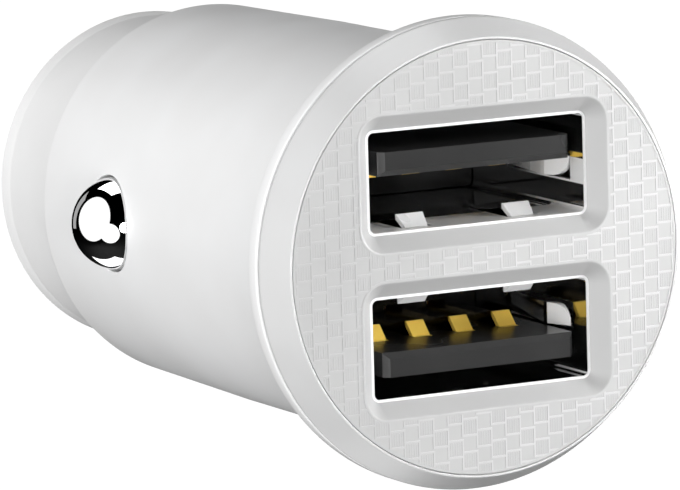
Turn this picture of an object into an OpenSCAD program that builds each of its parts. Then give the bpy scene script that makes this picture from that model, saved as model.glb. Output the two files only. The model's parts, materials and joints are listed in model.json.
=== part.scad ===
// Two-port car charger plug, in millimetres.
// The origin lies on the barrel's axis, in the seat face of the flange.
// +Y points the way the plug goes into its socket, +Z runs across the two stacked ports.

/* [Ports] */
// Width inside a port
port_w = 12.5; // [11.8:0.1:14]
// Height inside a port
port_h = 5.12; // [4.8:0.02:6]
// Clearance between a port's shell and the circuit board
port_standoff = 0.61; // [0.5:0.01:1]
// Sheet thickness of a port's shell
shell_t = 0.3; // [0.25:0.01:0.35]
// Depth of a port, from its mouth to the block that the tongue stands on
port_depth = 11.8; // [10:0.1:14]
// Thickness of that block, which closes the shell's rear end
stop_t = 1.8; // [1.5:0.1:3]
// Corner radius inside a port
port_r = 0.3; // [0.2:0.05:0.4]
// Clearance at each side of the plastic tongue
tongue_side = 0.7; // [0.5:0.05:0.9]
// Thickness of the plastic tongue
tongue_t = 1.25; // [1:0.05:1.5]
// Clearance between the tongue and the wall behind it
tongue_gap = 1.06; // [0.9:0.01:1.2]
// Width of a contact
contact_w = 1; // [0.8:0.05:1.2]
// Distance from the tongue's edge to the nearest contact
contact_edge = 1.225; // [1:0.025:1.5]
// Height of a contact's crest above the tongue
contact_rise = 0.7; // [0.4:0.05:0.9]
// Width of a spring finger in the wall that faces the tongue
finger_w = 1.55; // [1.2:0.05:1.7]
// Width of such a finger at its tip
finger_tip_w = 1.3; // [0.8:0.05:1.5]
// Distance from a side wall to the middle of the nearest such finger
finger_inset = 3.15; // [2.9:0.05:3.6]
// Height of a spring finger in a side wall
side_finger_w = 1.1; // [0.8:0.05:1.3]
// How far the spring fingers reach into the port
finger_rise = 0.6; // [0.4:0.05:0.7]

/* [Barrel] */
// Clearance between the corners of the port shells and the bore
bore_room = 0.166; // [0.1:0.002:0.5]
// Wall of the barrel at its front end
barrel_wall = 0.82; // [0.7:0.02:1.4]
// How far the barrel narrows to its rear end, on each side
barrel_draft = 0.17; // [0.1:0.01:0.3]
// How far the bore narrows to its rear end, on each side
bore_draft = 0.1; // [0.05:0.01:0.2]
// Thickness of the wall that closes the rear end
rear_wall = 1.2; // [1:0.1:1.6]
// Distance from the circuit board to the rear end of the barrel
rear_room = 3; // [2.6:0.1:5]
// How far the flange stands out of the barrel
flange_h = 1.76; // [1.5:0.02:2.4]
// Thickness of the flange
flange_t = 1; // [0.9:0.05:1.6]
// Height of the rails that hold the edges of the circuit board
rail_h = 0.8; // [0.6:0.05:0.9]

/* [Front] */
// Length of the bezel ring, from the face to the seam
bezel_len = 2; // [1.9:0.05:2.6]
// How far the bezel ring narrows to the face, on each side
bezel_taper = 0.88; // [0.5:0.02:1.1]
// Width of the bezel's rim round the patterned face plate
rim_w = 0.15; // [0.1:0.01:0.4]
// Thickness of the face plate, which is also the depth of the port bevels
face_t = 0.85; // [0.7:0.05:1]
// Width of the bevel at the left and right of a port
bevel_side = 0.78; // [0.5:0.02:0.9]
// Width of the bevel above and below a port
bevel_top = 0.8; // [0.5:0.02:0.9]
// Corner radius of the bevel, at the face
bevel_r = 1.3; // [0.8:0.1:1.6]
// Seam between the bezel ring and the flange
seam = 0.1; // [0.05:0.01:0.15]

/* [Side contacts] */
// Distance of the side contacts from the rear end of the barrel
contact_back = 8; // [7.4:0.1:9]
// Radius of the round head of a side contact
head_r = 2.5; // [2.2:0.05:2.6]
// How far a side contact stands out of the barrel
head_out = 1.75; // [1.5:0.05:1.9]
// How far a side contact can be pressed in
side_travel = 1.65; // [1.2:0.05:1.8]

/* [Nose] */
// Step from the barrel's rear end down to the nose cap
nose_step = 1.2; // [0.9:0.01:1.3]
// Length of the nose cap behind the barrel
nose_len = 7.57; // [6.8:0.01:9]
// Length of the flared band at its rear edge
nose_band = 0.9; // [0.6:0.01:1.6]
// How far that band flares out of the nose cap
band_h = 0.14; // [0.08:0.01:0.25]
// Diameter of the centre tip
tip_d = 6.4; // [5.8:0.1:7]
// How far the centre tip stands out of the nose cap
tip_out = 4; // [3.4:0.1:4.4]

/* [Circuit board] */
// Thickness of the circuit board
board_t = 1.6; // [1.4:0.05:2]
// Diameter of the choke's core
choke_d = 5.8; // [5.4:0.1:6.4]
// Height of the choke
choke_h = 4.5; // [3.5:0.1:5]
// Diameter of the two capacitors
cap_d = 4; // [3.8:0.1:4.6]
// Height of the two capacitors
cap_h = 5.4; // [4.5:0.1:5.6]
// Clearance between the choke and the capacitor behind it
part_gap = 0.9; // [0.5:0.1:2]

/* [Hidden] */

// Facets of the large and the small round surfaces
round_fn = 96;
small_fn = 40;
// Clearance of pieces that fit into each other, and of pieces that move
fit = 0.05;
run = 0.1;
// Length by which a cut passes the faces that it opens
cut = 1;
// Break of the sharp moulded edges
edge = 0.2;
// Clearance at each end of a coil spring, so that it touches without sinking in
spring_gap = 0.03;

// Port and shell, measured from the port's middle
wall_z = port_h / 2;
wall_x = port_w / 2;
lip = 0.18;
shell_r = port_r + shell_t;
tongue_w = port_w - 2 * tongue_side;
tongue_back = wall_z - tongue_gap;
tongue_face = tongue_back - tongue_t;
tongue_edge = 0.3;
contact_t = 0.25;
contact_lip = 0.25;
contact_sink = 0.1;
contact_flat = 0.3;
contact_slope = 2.2;
tail_len = 0.6;
contact_pitch = (tongue_w - 2 * contact_edge - contact_w) / 3;
finger_x = wall_x - finger_inset;
finger_len = 5;
finger_bend = 0.75;
side_finger_len = 6.4;
side_finger_bend = 1.5;
finger_flat = 0.4;
// Clearance between the tongue's face and the side fingers
finger_room = 0.07;
side_finger_z = tongue_face - finger_room - side_finger_w / 2;
leg_len = 2;
foot_w = 6;
foot_len = 1;

// Round forms about the axis, from the ports outwards
board_z = board_t / 2;
port_z = board_z + port_standoff + shell_t + wall_z;
bore_r = norm([wall_x - port_r, port_z + wall_z - port_r]) + shell_r + bore_room;
bore_rear_r = bore_r - bore_draft;
barrel_r = bore_r + barrel_wall;
barrel_rear_r = barrel_r - barrel_draft;
flange_r = barrel_r + flange_h;
bezel_front_r = flange_r - bezel_taper;
face_r = bezel_front_r - rim_w;
nose_r = barrel_rear_r - nose_step;

// The step in the flange's front that the bezel ring's spigot sits in
step_r = bore_r + 1.3;
step_depth = 0.45;
spigot_wall = 0.7;

// Places along the axis
face_y = -(flange_t + bezel_len);
mouth_y = face_y + face_t;
stop_y = mouth_y + port_depth;
shell_end_y = stop_y + stop_t;
tongue_y = mouth_y + 0.1;
finger_y = mouth_y + 0.9;
side_finger_y = mouth_y + 1.55;
crest_y = mouth_y + 4.75;
leg_gap = 1;
leg_back = 1.45;
leg_y_lower = shell_end_y - leg_back - leg_len;
leg_y_upper = leg_y_lower - leg_gap - leg_len;
board_start_y = 1;
parts_y = shell_end_y + 1.45;
choke_y = parts_y + choke_d / 2;
cap_base = cap_d + 0.2;
cap_y = parts_y + choke_d + part_gap + cap_base / 2;
board_end_y = cap_y + cap_base / 2 + 1.2;
barrel_len = board_end_y + rear_room;
bore_end_y = barrel_len - rear_wall;
contact_y = barrel_len - contact_back;
straight_len = contact_y - head_r - 1;
nose_end_y = barrel_len + nose_len;

// Side contacts: the middle of the round head, its skirt, its spring and its bracket
barrel_slope = barrel_draft / (barrel_len - straight_len);
bore_slope = bore_draft / (bore_end_y + flange_t);
head_x = barrel_r - barrel_slope * (contact_y - straight_len) + head_out - head_r;
head_hole_r = head_r + run;
head_wall = 0.4;
skirt_r = head_r + 0.6;
skirt_t = 0.45;
skirt_x = sqrt(pow(bore_r - bore_slope * (contact_y + flange_t), 2) - pow(skirt_r, 2)) - 0.3;
side_wire_r = 0.16;
side_coil_r = head_r - head_wall - side_wire_r - 0.35;
side_coil_turns = 6;
bracket_t = 0.3;
bracket_h = 4.6;
bracket_w = 4.4;
bracket_foot = 1.2;
// The pressed-in skirt still clears the bracket by this much
bracket_room = 1.1;
bracket_x = skirt_x - skirt_t - side_travel - bracket_room;
spring_top_x = head_x + sqrt(pow(head_r - head_wall, 2) - pow(side_coil_r + side_wire_r, 2));

// Nose cap, centre tip and its spring
spigot_r = bore_rear_r - 1.35;
spigot_in_r = spigot_r - 0.85;
spigot_len = rear_wall + 0.9;
snap_h = 0.3;
nose_wall = 2;
nose_in_r = nose_r - 1.36;
tip_r = tip_d / 2;
tip_flange_r = tip_r + 1.1;
tip_flange_t = 1;
tip_flange_y = nose_end_y - nose_wall - 0.3;
tip_ball_y = nose_end_y + tip_out - tip_r;
tip_bore_r = tip_r - 0.7;
tip_wire_r = 0.25;
tip_coil_r = tip_bore_r - tip_wire_r - 0.25;
tip_coil_turns = 9;
terminal_t = 0.3;
terminal_r = tip_r - 0.2;
terminal_leg_w = 2.4;
terminal_leg_len = 1;
terminal_y = board_end_y + fit;

// Circuit board and the parts on it
board_half_w = bore_r - 0.3;
board_waist = bracket_x - bracket_t;
board_step_y = contact_y - skirt_r - 0.5;
rail_start_y = 2 * board_start_y;
rail_short = 3.4;
rail_end_y = board_step_y - rail_short;
side_parts_y = (parts_y + board_step_y) / 2;
side_parts_out = 1.1;
side_parts_x = board_half_w / 2 + side_parts_out;
choke_flange = 0.9;
lead_t = 0.2;
converter_w = 3.9;
converter_l = 4.9;
converter_h = 1.4;
port_chip_w = 1.6;
port_chip_l = 2.9;
port_chip_h = 1.1;
diode_w = 2.4;
diode_h = 1.9;
fuse_w = 2.8;
fuse_h = 0.8;
large_part_l = 3;
small_part_w = 0.7;
small_part_l = 1.3;
small_part_h = 0.5;

// Along +Y: a revolved outline, a cylinder and an extruded outline drawn as (x, z)
module turned() {
    rotate([-90, 0, 0]) rotate_extrude($fn = round_fn) children();
}

module rod_y(r, y0, y1, fn = round_fn) {
    translate([0, y0, 0]) rotate([-90, 0, 0]) cylinder(r = r, h = y1 - y0, $fn = fn);
}

module slab_y(y0, y1) {
    translate([0, y1, 0]) rotate([90, 0, 0]) linear_extrude(y1 - y0) children();
}

// Along +X: an extruded outline drawn as (y, z), centred on x
module slab_x(x, width) {
    translate([x - width / 2, 0, 0]) rotate([90, 0, 90]) linear_extrude(width) children();
}

module block(x0, x1, y0, y1, z0, z1) {
    translate([x0, y0, z0]) cube([x1 - x0, y1 - y0, z1 - z0]);
}

// A rectangle with round corners, centred, of half sizes w and h
module round_rect(w, h, r) {
    for (sx = [-1, 1], sz = [-1, 1])
        translate([sx * (w - r), sz * (h - r)]) circle(r = r, $fn = small_fn);
    square([2 * (w - r), 2 * h], center = true);
    square([2 * w, 2 * (h - r)], center = true);
}

// The lower port is the upper one turned over
module port_side(upper) {
    mirror([0, 0, upper ? 0 : 1]) translate([0, 0, port_z]) children();
}

module barrel_housing() {
    step_y = -flange_t + step_depth + 0.1;
    color("whitesmoke") difference() {
        union() {
            turned() polygon([
                [bore_r, step_y], [step_r, step_y], [step_r, -flange_t],
                [flange_r - edge, -flange_t], [flange_r, -flange_t + edge],
                [flange_r, -edge], [flange_r - edge, 0],
                [barrel_r, 0], [barrel_r, straight_len],
                [barrel_rear_r, barrel_len - edge], [barrel_rear_r - edge, barrel_len],
                [spigot_r + fit, barrel_len], [spigot_r + fit, bore_end_y],
                [bore_rear_r, bore_end_y]
            ]);
            board_rails();
        }
        for (side = [-1, 1])
            translate([side * barrel_r, contact_y, 0]) rotate([0, 90, 0])
                cylinder(r = head_hole_r, h = head_hole_r * 2, center = true, $fn = small_fn);
    }
}

// Two pairs of rails inside the bore hold the edges of the circuit board
module board_rails() {
    rail_z = board_z + fit;
    rail_in = board_half_w - 1;
    wall_mid = bore_r + barrel_wall / 2;
    for (side = [-1, 1], face = [-1, 1])
        intersection() {
            rod_y(wall_mid, 0, barrel_len);
            block(side > 0 ? rail_in : -wall_mid, side > 0 ? wall_mid : -rail_in,
                rail_start_y, rail_end_y,
                face > 0 ? rail_z : -rail_z - rail_h, face > 0 ? rail_z + rail_h : -rail_z);
        }
}

module bezel_ring() {
    seat_r = face_r + 0.03;
    back_y = -flange_t - seam;
    spigot_y = -flange_t + step_depth + fit;
    spigot_out = step_r - fit;
    spigot_in = spigot_out - spigot_wall;
    color("whitesmoke") difference() {
        turned() polygon([
            [0, mouth_y], [seat_r, mouth_y], [seat_r, face_y],
            [bezel_front_r, face_y], [flange_r, back_y - edge], [flange_r - edge, back_y],
            [spigot_out, back_y], [spigot_out, spigot_y], [spigot_in, spigot_y],
            [spigot_in, back_y], [0, back_y]
        ]);
        for (upper = [true, false])
            port_side(upper) slab_y(mouth_y - cut, back_y + cut)
                round_rect(wall_x + shell_t + fit, wall_z + shell_t + fit, shell_r);
    }
}

module face_plate() {
    inner_w = wall_x + lip;
    inner_h = wall_z + lip;
    color("gainsboro") difference() {
        rod_y(face_r, face_y, mouth_y);
        for (upper = [true, false])
            port_side(upper) hull() {
                slab_y(face_y - 0.01, face_y)
                    round_rect(inner_w + bevel_side, inner_h + bevel_top, bevel_r);
                slab_y(mouth_y, mouth_y + 0.01)
                    round_rect(inner_w, inner_h, port_r + lip);
            }
    }
}

// A finger is a strip of the wall: its tip bends out of the way, its crest presses on the plug.
// Drawn with the wall along y and the port's inside at smaller heights.
module finger_outline(tip_y, length, bend) {
    crest_start = tip_y + bend;
    crest_end = crest_start + finger_flat;
    root_y = tip_y + length;
    polygon([
        [tip_y, 0], [crest_start, -finger_rise], [crest_end, -finger_rise],
        [root_y, 0], [root_y + shell_t, 0], [root_y + shell_t, shell_t], [root_y, shell_t],
        [crest_end, shell_t - finger_rise], [crest_start, shell_t - finger_rise],
        [tip_y, shell_t]
    ]);
}

module usb_shell(upper) {
    gap = 0.15;
    nick = 0.1;
    leg_y = upper ? leg_y_upper : leg_y_lower;
    leg_end = -port_z - board_z - shell_t;
    color("silver") port_side(upper) {
        difference() {
            slab_y(mouth_y, shell_end_y) round_rect(wall_x + shell_t, wall_z + shell_t, shell_r);
            slab_y(mouth_y - cut, shell_end_y + cut) round_rect(wall_x, wall_z, port_r);
            for (side = [-1, 1]) {
                block(side * finger_x - finger_w / 2 - gap, side * finger_x + finger_w / 2 + gap,
                    finger_y - gap, finger_y + finger_len, -wall_z - cut, -wall_z + nick);
                block(side > 0 ? wall_x - nick : -wall_x - cut, side > 0 ? wall_x + cut : -wall_x + nick,
                    side_finger_y - gap, side_finger_y + side_finger_len,
                    side_finger_z - side_finger_w / 2 - gap, side_finger_z + side_finger_w / 2 + gap);
            }
            // Room for the insulator's foot in the wall that faces the board
            block(-foot_w / 2 - fit, foot_w / 2 + fit, shell_end_y - foot_len - fit,
                shell_end_y + cut, -wall_z - cut, -wall_z + nick);
        }
        for (side = [-1, 1]) {
            translate([side * finger_x, 0, -wall_z]) wall_finger();
            translate([side * wall_x, 0, side_finger_z])
                mirror([side > 0 ? 0 : 1, 0, 0]) side_finger();
            block(side > 0 ? wall_x : -wall_x - shell_t, side > 0 ? wall_x + shell_t : -wall_x,
                leg_y, leg_y + leg_len, leg_end, -wall_z + shell_r);
        }
    }
}

// A finger in the wall that faces the tongue, with the wall at z = 0. Its tip is narrower.
module wall_finger() {
    bend_y = finger_y + finger_bend;
    end_y = finger_y + finger_len + shell_t;
    intersection() {
        slab_x(0, finger_w) mirror([0, 1]) finger_outline(finger_y, finger_len, finger_bend);
        translate([0, 0, -wall_z]) linear_extrude(port_h) polygon([
            [-finger_tip_w / 2, finger_y], [finger_tip_w / 2, finger_y], [finger_w / 2, bend_y],
            [finger_w / 2, end_y], [-finger_w / 2, end_y], [-finger_w / 2, bend_y]
        ]);
    }
}

// The finger in the right side wall, with the wall at x = 0. Its tip is a quarter round that
// keeps its straight edge beside the tongue.
module side_finger() {
    half = side_finger_w / 2;
    round_y = side_finger_y + side_finger_w;
    intersection() {
        translate([0, 0, -half]) linear_extrude(side_finger_w)
            mirror([1, -1]) finger_outline(side_finger_y, side_finger_len, side_finger_bend);
        slab_x(0, port_w) {
            translate([round_y, half]) circle(r = side_finger_w, $fn = small_fn);
            translate([round_y, -half]) square([side_finger_len, side_finger_w]);
        }
    }
}

module usb_insulator(upper) {
    color("dimgray") port_side(upper) difference() {
        union() {
            intersection() {
                slab_x(0, tongue_w) polygon([
                    [tongue_y, tongue_face + tongue_edge], [tongue_y + tongue_edge, tongue_face],
                    [stop_y + cut, tongue_face], [stop_y + cut, tongue_back], [tongue_y, tongue_back]
                ]);
                translate([0, 0, -wall_z]) linear_extrude(port_h) polygon([
                    [-tongue_w / 2 + tongue_edge, tongue_y], [tongue_w / 2 - tongue_edge, tongue_y],
                    [tongue_w / 2, tongue_y + tongue_edge], [tongue_w / 2, stop_y + cut],
                    [-tongue_w / 2, stop_y + cut], [-tongue_w / 2, tongue_y + tongue_edge]
                ]);
            }
            slab_y(stop_y, shell_end_y) round_rect(wall_x - fit, wall_z - fit, port_r);
            // The foot that stands on the circuit board
            block(-foot_w / 2, foot_w / 2, shell_end_y - foot_len, shell_end_y,
                -port_z + board_z, -wall_z + shell_t);
        }
        // Grooves in the tongue and channels through the block, one for each contact
        for (i = [-1.5 : 1.5])
            block(i * contact_pitch - contact_w / 2 - fit, i * contact_pitch + contact_w / 2 + fit,
                crest_y - contact_rise - contact_lip - fit, shell_end_y + cut,
                tongue_face - contact_sink - contact_t, tongue_face + contact_t + fit);
    }
}

module usb_contacts(upper) {
    ramp_y = crest_y - contact_rise;
    crest_end_y = crest_y + contact_flat;
    root_y = crest_end_y + contact_slope;
    low = tongue_face + contact_t;
    high = tongue_face - contact_rise;
    back = low - contact_sink;
    tail_y = shell_end_y + 0.5;
    tail_end_y = tail_y + tail_len;
    board_face = -port_z + board_z;
    color("gold") port_side(upper)
        for (i = [-1.5 : 1.5])
            slab_x(i * contact_pitch, contact_w) polygon([
                [ramp_y - contact_lip, low], [ramp_y - contact_lip, low - contact_t],
                [ramp_y, low - contact_t], [crest_y, high], [crest_end_y, high],
                [root_y, back - contact_t], [tail_y, back - contact_t],
                [tail_y, board_face], [tail_end_y, board_face],
                [tail_end_y, board_face + contact_t], [tail_y + contact_t, board_face + contact_t],
                [tail_y + contact_t, back], [root_y - 0.1, back],
                [crest_end_y, high + contact_t], [crest_y + 0.1, high + contact_t],
                [ramp_y + 0.1, low]
            ]);
}

module circuit_board() {
    slot = 0.1;
    color("darkgreen") difference() {
        translate([0, 0, -board_z]) linear_extrude(board_t) polygon([
            [-board_half_w, board_start_y], [board_half_w, board_start_y],
            [board_half_w, board_step_y], [board_waist, board_step_y],
            [board_waist, board_end_y], [-board_waist, board_end_y],
            [-board_waist, board_step_y], [-board_half_w, board_step_y]
        ]);
        for (side = [-1, 1], leg_y = [leg_y_upper, leg_y_lower])
            block(side * (wall_x + shell_t / 2) - shell_t / 2 - slot,
                side * (wall_x + shell_t / 2) + shell_t / 2 + slot,
                leg_y - slot, leg_y + leg_len + slot, -board_t, board_t);
    }
}

// Places on the two faces of the board: top is +1 for the upper face, -1 for the lower
module on_board(x, y, top) {
    translate([x, y, 0]) mirror([0, 0, top > 0 ? 0 : 1]) translate([0, 0, board_z]) children();
}

module choke_core() {
    color("dimgray") on_board(0, choke_y, 1) difference() {
        cylinder(d = choke_d, h = choke_h, $fn = small_fn);
        translate([0, 0, choke_flange]) difference() {
            cylinder(d = choke_d + 1, h = choke_h - 2 * choke_flange, $fn = small_fn);
            translate([0, 0, -cut]) cylinder(d = choke_d / 2, h = choke_h + cut, $fn = small_fn);
        }
    }
}

module choke_winding() {
    gap = 0.02;
    depth = 0.35;
    color("peru") on_board(0, choke_y, 1) translate([0, 0, choke_flange + gap]) difference() {
        cylinder(d = choke_d - 2 * depth, h = choke_h - 2 * choke_flange - 2 * gap, $fn = small_fn);
        translate([0, 0, -cut])
            cylinder(d = choke_d / 2 + 2 * gap, h = choke_h + 2 * cut, $fn = small_fn);
    }
}

// A moulded chip with bent leads on its left and right sides
module chip(body_w, body_l, body_h, lead_count) {
    lead_pitch = body_l / (lead_count - 0.1);
    lead_w = lead_pitch / 3;
    root_x = body_w / 2 - 0.3;
    knee_x = body_w / 2 + 0.45;
    end_x = body_w / 2 + 1;
    standoff = 0.1;
    slope = 0.12;
    lead_low = standoff + body_h / 2 - lead_t / 2;
    lead_high = lead_low + lead_t;
    translate([0, 0, standoff]) hull() {
        translate([-body_w / 2 + slope, -body_l / 2 + slope, 0])
            cube([body_w - 2 * slope, body_l - 2 * slope, body_h]);
        translate([-body_w / 2, -body_l / 2, body_h / 2]) cube([body_w, body_l, lead_t / 2]);
    }
    for (side = [-1, 1], i = [0 : lead_count - 1])
        mirror([side > 0 ? 0 : 1, 0, 0])
            slab_at((i - (lead_count - 1) / 2) * lead_pitch, lead_w) polygon([
                [root_x, lead_low], [knee_x, lead_low], [knee_x, 0], [end_x, 0], [end_x, lead_t],
                [knee_x + lead_t, lead_t], [knee_x + lead_t, lead_high], [root_x, lead_high]
            ]);
}

// An outline drawn as (x, z), extruded along Y and centred on y
module slab_at(y, width) {
    translate([0, y, 0]) slab_y(-width / 2, width / 2) children();
}

module converter_chip() {
    color("#26282b") on_board(0, parts_y + converter_l / 2, -1)
        chip(converter_w, converter_l, converter_h, 4);
}

module port_chip() {
    color("#26282b") on_board(-side_parts_x, side_parts_y, -1)
        chip(port_chip_w, port_chip_l, port_chip_h, 3);
}

// A metal-can capacitor on its square plastic base
module capacitor() {
    base_t = 0.8;
    bead = 0.25;
    bead_z = base_t + 3 * bead;
    corner = 0.9;
    linear_extrude(base_t) polygon([
        [-cap_base / 2, -cap_base / 2], [cap_base / 2, -cap_base / 2],
        [cap_base / 2, cap_base / 2 - corner], [cap_base / 2 - corner, cap_base / 2],
        [-cap_base / 2 + corner, cap_base / 2], [-cap_base / 2, cap_base / 2 - corner]
    ]);
    rotate_extrude($fn = small_fn) polygon([
        [0, base_t], [cap_d / 2, base_t], [cap_d / 2, bead_z - bead],
        [cap_d / 2 - bead, bead_z], [cap_d / 2, bead_z + bead],
        [cap_d / 2, cap_h - edge], [cap_d / 2 - edge, cap_h], [0, cap_h]
    ]);
}

module input_capacitor() {
    color("lightgray") on_board(0, cap_y, -1) capacitor();
}

module output_capacitor() {
    color("lightgray") on_board(0, cap_y, 1) capacitor();
}

// A block-shaped part whose two end caps wrap round its ends
module end_capped(w, l, h, cap_len) {
    wrap = 0.05;
    translate([-w / 2, -l / 2 + cap_len, 0]) cube([w, l - 2 * cap_len, h]);
    for (side = [-1, 1])
        translate([-w / 2 - wrap, side > 0 ? l / 2 - cap_len : -l / 2, 0])
            cube([w + 2 * wrap, cap_len, h + wrap]);
}

module diode() {
    color("#2b2b2e") on_board(side_parts_x, side_parts_y, 1)
        end_capped(diode_w, large_part_l, diode_h, large_part_l / 5);
}

module fuse() {
    color("darkolivegreen") on_board(-side_parts_x, side_parts_y, 1)
        end_capped(fuse_w, large_part_l, fuse_h, large_part_l / 5);
}

module chip_parts() {
    color("tan")
        for (i = [-1 : 1], j = [-0.5 : 0.5])
            on_board(side_parts_x + i * (small_part_w + 0.6), side_parts_y + j * (small_part_l + 0.4), -1)
                end_capped(small_part_w, small_part_l, small_part_h, small_part_l / 4);
}

// The contacts and what belongs to them are drawn on the right, at +X
module each_side(left) {
    translate([0, contact_y, 0]) mirror([left ? 1 : 0, 0, 0]) rotate([0, 90, 0]) children();
}

// A drawn metal cap: a round head, a skirt and a flange that stops inside the barrel's wall
module side_contact(left) {
    color("silver") each_side(left) difference() {
        union() {
            translate([0, 0, head_x]) sphere(r = head_r, $fn = small_fn);
            translate([0, 0, skirt_x - skirt_t])
                cylinder(r = head_r, h = head_x - skirt_x + skirt_t, $fn = small_fn);
            translate([0, 0, skirt_x - skirt_t]) cylinder(r = skirt_r, h = skirt_t, $fn = small_fn);
        }
        translate([0, 0, head_x]) sphere(r = head_r - head_wall, $fn = small_fn);
        translate([0, 0, skirt_x - skirt_t - head_r])
            cylinder(r = head_r - head_wall, h = head_x - skirt_x + skirt_t + head_r, $fn = small_fn);
        translate([0, 0, skirt_x - skirt_t - 2 * head_r])
            cylinder(r = skirt_r + 1, h = 2 * head_r, $fn = small_fn);
    }
}

module side_bracket(left) {
    color("silver") translate([0, contact_y, 0]) mirror([left ? 1 : 0, 0, 0]) {
        block(board_waist, bracket_x, -bracket_w / 2, bracket_w / 2, -bracket_h / 2, bracket_h / 2);
        for (side = [-1, 1])
            block(board_waist - bracket_foot, board_waist + 0.01, -bracket_w / 4, bracket_w / 4,
                side > 0 ? board_z : -board_z - bracket_t, side > 0 ? board_z + bracket_t : -board_z);
    }
}

// A coil spring with closed end turns, held between z = 0 and z = span
function coil_rise(t, turns, wire_r, length) =
    let (dead = 2.1 * wire_r, free = (length - 2 * wire_r - 2 * dead) / (turns - 2))
    t < 1 ? wire_r + t * dead
    : t > turns - 1 ? length - wire_r - (turns - t) * dead
    : wire_r + dead + (t - 1) * free;

function coil_ring(t, turns, coil_r, wire_r, length, sides) =
    let (turn = 360 * t, mid = coil_rise(t, turns, wire_r, length))
    [for (k = [0 : sides - 1])
        let (a = 360 * k / sides, r = coil_r + wire_r * cos(a))
        [r * cos(turn), r * sin(turn), mid + wire_r * sin(a)]];

module coil_spring(coil_r, wire_r, span, turns, steps = 16, sides = 8) {
    length = span - 2 * spring_gap;
    rings = turns * steps;
    points = [for (i = [0 : rings])
        each coil_ring(i / steps, turns, coil_r, wire_r, length, sides)];
    walls = [for (i = [0 : rings - 1], k = [0 : sides - 1])
        let (a = i * sides + k, b = i * sides + (k + 1) % sides)
        [a, b, b + sides, a + sides]];
    first_end = [for (k = [0 : sides - 1]) sides - 1 - k];
    last_end = [for (k = [0 : sides - 1]) rings * sides + k];
    translate([0, 0, spring_gap]) polyhedron(points, concat(walls, [first_end, last_end]));
}

module side_spring(left) {
    color("silver") each_side(left) translate([0, 0, bracket_x])
        coil_spring(side_coil_r, side_wire_r, spring_top_x - bracket_x, side_coil_turns);
}

module nose_cap() {
    band_r = nose_r + band_h;
    band_edge = 0.06;
    snap_y = bore_end_y - fit;
    color("whitesmoke") turned() polygon([
        [spigot_r, barrel_len], [nose_r, barrel_len],
        [nose_r, nose_end_y - nose_band], [band_r, nose_end_y - band_edge],
        [band_r - band_edge, nose_end_y],
        [tip_r + run, nose_end_y], [tip_r + run, nose_end_y - nose_wall],
        [nose_in_r, nose_end_y - nose_wall], [nose_in_r, barrel_len + nose_in_r - spigot_in_r],
        [spigot_in_r, barrel_len], [spigot_in_r, barrel_len - spigot_len],
        [spigot_r, barrel_len - spigot_len], [spigot_r + snap_h, snap_y - 0.45],
        [spigot_r + snap_h, snap_y], [spigot_r, snap_y]
    ]);
}

module centre_tip() {
    color("silver") difference() {
        union() {
            rod_y(tip_r, tip_flange_y - tip_flange_t, tip_ball_y, small_fn);
            translate([0, tip_ball_y, 0]) sphere(r = tip_r, $fn = small_fn);
            rod_y(tip_flange_r, tip_flange_y - tip_flange_t, tip_flange_y, small_fn);
        }
        rod_y(tip_bore_r, tip_flange_y - tip_flange_t - cut, tip_ball_y, small_fn);
        rod_y(tip_flange_r + 1, tip_flange_y - tip_flange_t - tip_r - cut,
            tip_flange_y - tip_flange_t, small_fn);
    }
}

module tip_spring() {
    start_y = terminal_y + terminal_t;
    color("silver") translate([0, start_y, 0]) rotate([-90, 0, 0])
        coil_spring(tip_coil_r, tip_wire_r, tip_ball_y - start_y, tip_coil_turns);
}

// The disc that carries the tip's spring stands on two legs that straddle the board's end
module tip_terminal() {
    pip_r = tip_coil_r - tip_wire_r - 0.15;
    color("silver") {
        rod_y(terminal_r, terminal_y, terminal_y + terminal_t, small_fn);
        rod_y(pip_r, terminal_y, terminal_y + 2 * terminal_t, small_fn);
        for (side = [-1, 1])
            block(-terminal_leg_w / 2, terminal_leg_w / 2,
                board_end_y - terminal_leg_len, terminal_y + terminal_t,
                side > 0 ? board_z : -board_z - terminal_t, side > 0 ? board_z + terminal_t : -board_z);
    }
}

barrel_housing();
bezel_ring();
face_plate();
usb_shell(true);  // usb_shell_upper
usb_shell(false);  // usb_shell_lower
usb_insulator(true);  // usb_insulator_upper
usb_insulator(false);  // usb_insulator_lower
usb_contacts(true);  // usb_contacts_upper
usb_contacts(false);  // usb_contacts_lower
circuit_board();
choke_core();
choke_winding();
converter_chip();
port_chip();
input_capacitor();
output_capacitor();
diode();
fuse();
chip_parts();
side_contact(true);  // side_contact_left
side_contact(false);  // side_contact_right
side_spring(true);  // side_spring_left
side_spring(false);  // side_spring_right
side_bracket(true);  // side_bracket_left
side_bracket(false);  // side_bracket_right
nose_cap();
centre_tip();
tip_spring();
tip_terminal();
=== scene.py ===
"""Looks of the two-port car charger plug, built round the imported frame.

Lengths below are in millimetres and are scaled to metres when a mesh is made.
+Y points from the face to the tip, +Z runs across the two stacked ports.
"""

import json
import math

import bmesh
import bpy
from mathutils import Matrix, Vector
from mathutils.geometry import delaunay_2d_cdt


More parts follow.
